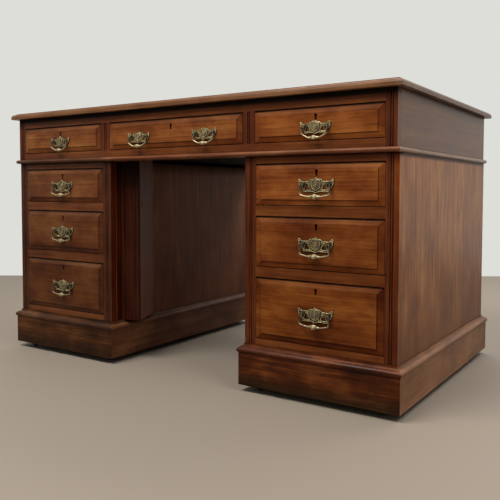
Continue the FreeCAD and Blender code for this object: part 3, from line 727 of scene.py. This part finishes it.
def soften(piece, width, edge=None):
    """Ease the arrises of a piece; edge is the finish of what is rubbed away."""
    weld = piece.modifiers.new("one_skin", "WELD")
    weld.merge_threshold = SAME_POINT
    ease = piece.modifiers.new("eased_arris", "BEVEL")
    ease.width = width
    ease.segments = 2
    ease.limit_method = "ANGLE"
    ease.angle_limit = math.radians(SHARP_ANGLE)
    ease.use_clamp_overlap = True
    if edge is not None:
        piece.data.materials.append(edge)
        piece.material_slots[1].link = "OBJECT"
        piece.material_slots[1].material = edge
        ease.material = 1
    smooth = piece.modifiers.new("even_shading", "WEIGHTED_NORMAL")
    smooth.keep_sharp = True


def wear(piece, finish):
    """Give a CAD piece its finish."""
    piece.material_slots[0].link = "OBJECT"
    piece.material_slots[0].material = finish


def dress_case():
    """Finishes of the fixed woodwork: node, tone, grain, seed, and what sets the piece apart."""
    turned_waist = grain_where(mitred_ends("waist_moulding"), grain_along_y, grain_along_x)
    # The frieze: painted shade in its grooves and, with dust, under the top; its left third darker and
    # greyer, painted shade and dust
    uprights = [(left_third, "dusty_rail", 1.0), (frieze_uprights, "stile", 1.0),
                (grooves("frieze_frame"), "groove", 0.0),
                (shade_and_dust_line("frieze_frame", FRIEZE_LINE), "grime", 0.6),
                (frame_ends("frieze_frame"), "end", 1.0)]
    work = [
        ("top_board", "top", grain_along_x, 1.0,
         {"boards": board_of_depth, "polish": (0.08, 0.3, 0.1),
          "apart": [(frame_ends("top_board", TOP_END_W), "top_end", 1.0)]}),
        ("frieze_frame", "rail", grain_where(frieze_uprights, grain_along_z, grain_along_x), 2.0,
         {"apart": uprights, "polish": (0.06, 0.25, 0.3)}),
        # The frieze case's underside is near-black: painted shade
        ("frieze_case", "end", grain_where(desk_ends, grain_along_y, grain_along_x), 3.0,
         {"polish": (0.03, 0.38, 0.1), "apart": [(underside("frieze_case"), "grime", 0.0)]}),
        # The waist's left third is darker and greyer: painted shade and dust
        ("waist_moulding", "moulding", turned_waist, 4.0,
         {"polish": (0.06, 0.6, 0.3), "apart": [(left_third, "left_shade_dust_moulding", 1.0),
                                                (mitred_ends("waist_moulding"), "moulding_end", 1.0)]}),
        ("pedestal_backs", "back", grain_along_z, 9.0, {"boards": board_of_width, "foot": everywhere}),
        # The post darkens towards its head: painted shade under the frieze
        ("kneehole_pilaster", "post", grain_along_z, 10.0,
         {"polish": (0.01, 0.012, 0.1),
          "apart": [(post_face, "post_face", 1.0), (kneehole_head, "grime", 0.0)]}),
    ]
    for number, side in enumerate(("left", "right")):
        plinth, front = side + "_plinth", side + "_frame"
        stiles = pedestal_stiles(front)
        end = frame_ends(front)
        # The left pedestal takes darker, greyer tones: painted shade and dust
        left_shade_dust = "dusty_" if side == "left" else ""
        apart = [(stiles, left_shade_dust + "stile", 1.0)]
        if side == "right":
            apart.append((outer_corner(front), "corner", 1.0))
        # Painted shade in the reeds and round the openings, dark red on the kneehole edges, and with
        # dust under the waist
        apart += [(grooves(front), "groove", 0.0), (kneehole_edge, "mouth", 0.0),
                  (shade_and_dust_line(front, FRAME_LINE), "grime", 0.0), (end, "side", 1.0),
                  (both(end, shade_and_dust_line(front, SIDE_LINE)), "groove", 0.2)]
        work += [
            (side + "_sides", "side", grain_along_z, 11.0 + number,
             {"boards": board_of_depth, "cloudy": 0.45, "broad": 0.22, "foot": everywhere,
              "polish": (0.03, 0.22, 0.3),
              # On the sides: painted shade and dust under the waist, and painted shade in the
              # kneehole's mouth and along its head
              "apart": [(shade_and_dust_line(side + "_sides", SIDE_LINE), "groove", 0.2),
                        (kneehole_face, "kneehole", 0.3), (kneehole_gloom, "grime", 0.0),
                        (kneehole_mouth, "mouth", 0.0), (kneehole_head, "grime", 0.0)]}),
            (front, left_shade_dust + "rail", grain_where(stiles, grain_along_z, grain_along_x), 13.0 + number,
             {"apart": apart, "foot": end, "polish": (0.1 if left_shade_dust else 0.03, 0.25, 0.3)}),
            (plinth, left_shade_dust + "plinth", grain_where(mitred_ends(plinth), grain_along_y, grain_along_x),
             15.0 + number, {"apart": [(scuffed_foot(plinth), "scuffed", 0.5),
                                       (outer_end(plinth), "plinth_end", 1.0),
                                       (kneehole_board(plinth), "plinth_kneehole", 1.0)],
                             "cloudy": 0.8, "polish": (0.05, 0.16, 0.45 if left_shade_dust else 0.2)}),
        ]
    for node, tone, grain, seed, details in work:
        wear(nodes[node], mahogany("mahogany_" + node, tone, grain, seed, **details))
        edge = mahogany("worn_" + node, tone, grain, seed, worn=CASE_WORN)
        soften(nodes[node], CASE_EASE, edge)
    for number, node in enumerate(("frieze_runners", "left_inside", "right_inside")):
        wear(nodes[node], pine("pine_" + node, grain_along_y, 20.0 + number))


def dress_drawers():
    for number, node in enumerate(sorted(n for n in nodes if n.startswith("drawer_"))):
        seed = 30.0 + 1.7 * number
        wear(nodes[node], drawer_wood("wood_" + node, node, seed, DRAWER_SHADE_AND_AGE[node[len("drawer_"):]]))
        edge = mahogany("worn_" + node, "front", grain_along_x, seed, worn=FRONT_WORN)
        soften(nodes[node], FRONT_EASE, edge)


# Chasing on the handle plates, in millimetres from the middle of the pivot line, right half:
# how far out the line lies, its thickness, its points
CHASING = (
    (2.4, 0.75, ((0.0, 16.9), (4.0, 13.6), (10.0, 12.2), (15.4, 11.0), (18.8, 7.6))),
    (2.4, 0.75, ((19.6, 7.4), (29.0, 6.4), (36.4, 6.3), (41.4, 9.4))),
    (2.4, 0.75, ((46.0, 6.6), (46.5, 1.0), (44.0, -3.8), (41.2, -8.0), (37.0, -9.9), (33.2, -13.6),
                 (33.9, -17.0), (31.0, -18.1), (13.0, -17.5), (6.0, -18.5), (0.0, -20.9))),
    (2.4, 0.65, ((16.7, -7.7), (16.1, -13.5), (31.3, -13.5), (30.8, -8.8), (26.8, 2.3), (23.5, 2.3),
                 (16.7, -7.7))),
    (2.4, 0.65, ((15.0, 5.6), (19.0, 5.6), (21.4, 3.0), (19.6, 0.2), (17.2, 1.4), (18.3, 3.2))),
    (3.6, 0.6, ((0.0, 14.0), (3.2, 11.3), (8.2, 10.1), (12.5, 6.0), (12.1, 0.0), (9.4, -9.2),
                (0.0, -15.4))),
    (3.6, 0.5, ((0.0, 10.9), (4.6, 5.4), (9.9, 1.0))),
    (3.6, 0.5, ((10.0, -2.0), (4.6, -6.8), (0.0, -12.8))),
    (4.5, 0.5, ((0.0, 5.8), (2.4, 2.3), (5.4, -0.4), (2.4, -3.5), (0.0, -7.4))),
)
PLATE_OUT = 2.4             # face of a plate, out of the drawer front
SCROLL = (45.4, 10.0, 3.1, 2.0)     # middle, outer and inner radius of the scrolled tips
SCROLL_TURN = (-150.0, 15.0, 29)    # where the scroll starts, degrees to a step, points
SCROLL_R = 0.75
PEARLS = (9.5, 12.7, 15.9, 19.1, 22.3, 25.5, 28.7)
PEARL_LINE = -15.6
PEARL_R = 1.1
BOSS = (4.5, -0.6, 1.5)     # middle boss: how far out, how high, radius
PEDESTAL_DROP, FRIEZE_DROP = 30.5, 32.5     # knop below the pivot
KNOP_R, KNOP_L = 5.8, 33.0
LOBES, LOBE_POINTS, LOBE_R = 10, 9, 0.8
LOBE_SPAN = 0.4             # share of the knop that the lobes cover, and of its radius that they fall
HELD_BRASS = {"frieze": paint(192, 174, 134), "upper": paint(184, 166, 128),
              "middle": paint(170, 152, 117), "lower": paint(156, 138, 106)}
BAIL_HELD = (0.011, 0.018)          # the bail is bright up to here above its knop, in metres
PIVOT_OUT = 10.4
PIN_R = 1.9
WIRE_SIDES = 6
WIRE_TIP = 0.6              # share of its radius that a wire has at its ends
MM = 0.001


def smooth_line(points, steps=5):
    """Curve through the points."""
    ends = [points[0]] + points + [points[-1]]
    curve = []
    for a, b, c, d in zip(ends, ends[1:], ends[2:], ends[3:]):
        for step in range(steps):
            t = step / steps
            curve.append(b + (c - a) * (0.5 * t) + (a - 2.5 * b + 2 * c - 0.5 * d) * t ** 2
                         + (1.5 * b - 0.5 * a - 1.5 * c + 0.5 * d) * t ** 3)
    return curve + [points[-1]]


def wire(mesh, path, radius, out=Vector((0, -1, 0))):
    """Round wire along a path, with thin ends."""
    rings = []
    turns = [2 * math.pi * i / WIRE_SIDES for i in range(WIRE_SIDES)]
    for number, point in enumerate(path):
        along = path[min(number + 1, len(path) - 1)] - path[max(number - 1, 0)]
        beside = along.cross(out).normalized()
        thick = radius * (WIRE_TIP if number in (0, len(path) - 1) else 1.0)
        rings.append([mesh.verts.new(point + thick * (math.cos(t) * beside + math.sin(t) * out))
                      for t in turns])
    for first, second in zip(rings, rings[1:]):
        for i in range(WIRE_SIDES):
            j = (i + 1) % WIRE_SIDES
            mesh.faces.new((first[i], first[j], second[j], second[i])).smooth = True
    mesh.faces.new(rings[0][::-1])
    mesh.faces.new(rings[-1])


def brass_piece(name, mesh, k, place, body, finish):
    """Finished piece from a mesh in millimetres, set at its handle and riding on a body."""
    mesh.normal_update()
    bmesh.ops.recalc_face_normals(mesh, faces=mesh.faces)
    data = bpy.data.meshes.new(name)
    mesh.to_mesh(data)
    mesh.free()
    data.transform(Matrix.Translation(place) @ Matrix.Diagonal((MM * k, MM, MM * k, 1.0)))
    data.materials.append(finish)
    piece = bpy.data.objects.new(name, data)
    bpy.context.scene.collection.objects.link(piece)
    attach(piece, body)


def chased_plate():
    """Raised lines, scrolled tips and pearls of one handle plate."""
    mesh = bmesh.new()
    middle_x, middle_z, outer, inner = SCROLL
    start, step, points_on = SCROLL_TURN
    turns = [math.radians(start + step * i) for i in range(points_on)]
    for side in (1, -1):
        for out, thick, points in CHASING:
            wire(mesh, smooth_line([Vector((side * u, -out, w)) for u, w in points]), thick)
        reach = [outer + (inner - outer) * i / (points_on - 1) for i in range(points_on)]
        spiral = [Vector((side * (middle_x + r * math.cos(t)), -PLATE_OUT, middle_z + r * math.sin(t)))
                  for r, t in zip(reach, turns)]
        wire(mesh, spiral, SCROLL_R)
        for u in PEARLS:
            bmesh.ops.create_icosphere(mesh, subdivisions=2, radius=PEARL_R,
                                       matrix=Matrix.Translation((side * u, -PLATE_OUT, PEARL_LINE)))
    out, high, radius = BOSS
    bmesh.ops.create_icosphere(mesh, subdivisions=2, radius=radius,
                               matrix=Matrix.Translation((0, -out, high)))
    return mesh


def gadrooned_knop(drop, k):
    """Lobes along the middle of a bail's knop."""
    mesh = bmesh.new()
    half = KNOP_L / 2 * LOBE_SPAN
    for lobe in range(LOBES):
        turn = 2 * math.pi * lobe / LOBES
        out = Vector((0, -math.cos(turn), math.sin(turn)))
        path = []
        for step in range(LOBE_POINTS):
            u = half * (2 * step / (LOBE_POINTS - 1) - 1)
            reach = KNOP_R * (1.0 - LOBE_SPAN * (u / half) ** 2)
            path.append(Vector((u, -PIVOT_OUT, -drop)) + out * reach)
        wire(mesh, path, LOBE_R, out)
    bmesh.ops.translate(mesh, verts=mesh.verts, vec=(0, PIVOT_OUT, 0))
    bmesh.ops.scale(mesh, verts=mesh.verts, vec=(1, k, 1))
    bmesh.ops.translate(mesh, verts=mesh.verts, vec=(0, -PLATE_OUT - k * (PIVOT_OUT - PLATE_OUT), 0))
    return mesh


def dress_metal():
    tarnished = aged_brass("tarnished_brass", paint(106, 89, 52), 0.75)
    brighter = aged_brass("brighter_brass", paint(134, 114, 70), 0.6)
    brass = aged_brass("rubbed_brass", paint(228, 207, 150), 0.3)
    iron = dark_iron("dark_iron")
    for name, piece in nodes.items():
        if name.startswith(("brass_", "bail_")):
            wear(piece, brighter if "_frieze_" in name else tarnished)
            soften(piece, METAL_EASE)
        elif name.startswith("caster_"):
            wear(piece, iron)
            soften(piece, METAL_EASE)
    for bail in [name for name in nodes if name.startswith("bail_")]:
        handle = bail[len("bail_"):]
        drawer = "drawer_" + ("frieze_middle" if handle.startswith("frieze_middle") else handle)
        frieze = handle.startswith("frieze")
        k = FRIEZE_HANDLE_SCALE if frieze else 1.0
        low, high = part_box(bail)
        held = (low.z + BAIL_HELD[0], low.z + BAIL_HELD[1])
        tone = HELD_BRASS["frieze" if frieze else handle.split("_")[1]]
        wear(nodes[bail], aged_brass("handled_" + bail, tone, 0.3, held))
        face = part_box(drawer)[0].y
        place = Vector(((low.x + high.x) / 2, face, high.z - MM * k * PIN_R))
        brass_piece("chasing_" + handle, chased_plate(), k, place, drawer, brass)
        drop = FRIEZE_DROP if frieze else PEDESTAL_DROP
        brass_piece("gadroon_" + handle, gadrooned_knop(drop, k), k, place, bail, brass)


# The room
FLOOR_REACH = 12.0
FLOOR_BACK = 1.9            # where the floor ends behind the desk
FLOOR_TONE = paint(141, 129, 115)
WALL_TONE = paint(222, 222, 217)
AIR_LOW, AIR_HIGH = (0.15, 0.15, 0.15, 1.0), (0.46, 0.465, 0.47, 1.0)
LAMPS = (                   # name, place, where it points, size, watts, colour
    ("ceiling_lamp", (-0.3, -1.7, 2.7), (0.1, -0.3, 0.4), (1.5, 0.9), 74.0, (1.0, 0.98, 0.95)),
    ("back_lamp", (0.6, 1.7, 2.8), (0.7, 0.9, 0.0), (3.6, 1.2), 64.0, (1.0, 0.98, 0.96)),
    ("window_lamp", (2.0, -0.7, 2.5), (0.6, -0.1, 0.4), (1.2, 1.2), 29.0, (1.0, 0.98, 0.96)),
)


def studio_floor():
    """Pale floor that ends in a straight line behind the desk, as at the wall of a room."""
    mesh = bmesh.new()
    turn = Matrix.Rotation(math.radians(EYE_TURN), 4, "Z")
    corners = ((-FLOOR_REACH, -FLOOR_REACH), (FLOOR_REACH, -FLOOR_REACH),
               (FLOOR_REACH, FLOOR_BACK), (-FLOOR_REACH, FLOOR_BACK))
    mesh.faces.new([mesh.verts.new(turn @ Vector((x, y, 0.0))) for x, y in corners])
    data = bpy.data.meshes.new("studio_floor")
    mesh.to_mesh(data)
    mesh.free()
    floor = bpy.data.objects.new("studio_floor", data)
    bpy.context.scene.collection.objects.link(floor)
    finish = Finish("pale_floor")
    finish.surface_is(Base_Color=FLOOR_TONE, Roughness=0.7)
    data.materials.append(finish.material)


def soft_lamp(name, place, aim, size, power, colour):
    lamp = bpy.data.lights.new(name, "AREA")
    lamp.shape = "RECTANGLE"
    lamp.size, lamp.size_y = size
    lamp.energy = power
    lamp.color = colour
    body = bpy.data.objects.new(name, lamp)
    body.location = place
    body.rotation_euler = (Vector(aim) - Vector(place)).to_track_quat("-Z", "Y").to_euler()
    body.visible_camera = False
    bpy.context.scene.collection.objects.link(body)


def studio_light():
    """Pale wall all round, with soft lamps above in front and behind, and a window to the right."""
    world = bpy.data.worlds.new("studio_air")
    world.use_nodes = True
    air = Shading(world.node_tree)
    rays = [air.node("LightPath", output="Is " + kind + " Ray")
            for kind in ("Camera", "Glossy", "Transmission")]
    seen = rays[0].most(rays[1]).most(rays[2])
    up = air.parts(air.node("TexCoord", output="Generated"))[2]
    light = air.blend(air.between(up, -0.1, 0.9), AIR_LOW, AIR_HIGH)
    colour = air.blend(seen, light, WALL_TONE)
    air.feed(world.node_tree.nodes["Background"].inputs["Color"], colour)
    bpy.context.scene.world = world
    for lamp in LAMPS:
        soft_lamp(*lamp)


def photograph_camera():
    data = bpy.data.cameras.new("photograph")
    data.sensor_fit = "HORIZONTAL"
    data.sensor_width = 36.0
    data.lens = LENS
    data.shift_x, data.shift_y = SHIFT
    data.clip_start, data.clip_end = 0.05, 50.0
    camera = bpy.data.objects.new("photograph", data)
    turn = Matrix.Rotation(math.radians(EYE_TURN), 4, "Z")
    tilt = Matrix.Rotation(math.radians(90.0 - EYE_DOWN), 4, "X")
    roll = Matrix.Rotation(math.radians(EYE_ROLL), 4, "Z")
    camera.matrix_world = Matrix.Translation(EYE) @ turn @ tilt @ roll
    bpy.context.scene.collection.objects.link(camera)
    bpy.context.scene.camera = camera


photograph_camera()
studio_floor()
studio_light()
dress_case()
dress_drawers()
dress_metal()
bpy.context.scene.view_settings.view_transform = "Standard"
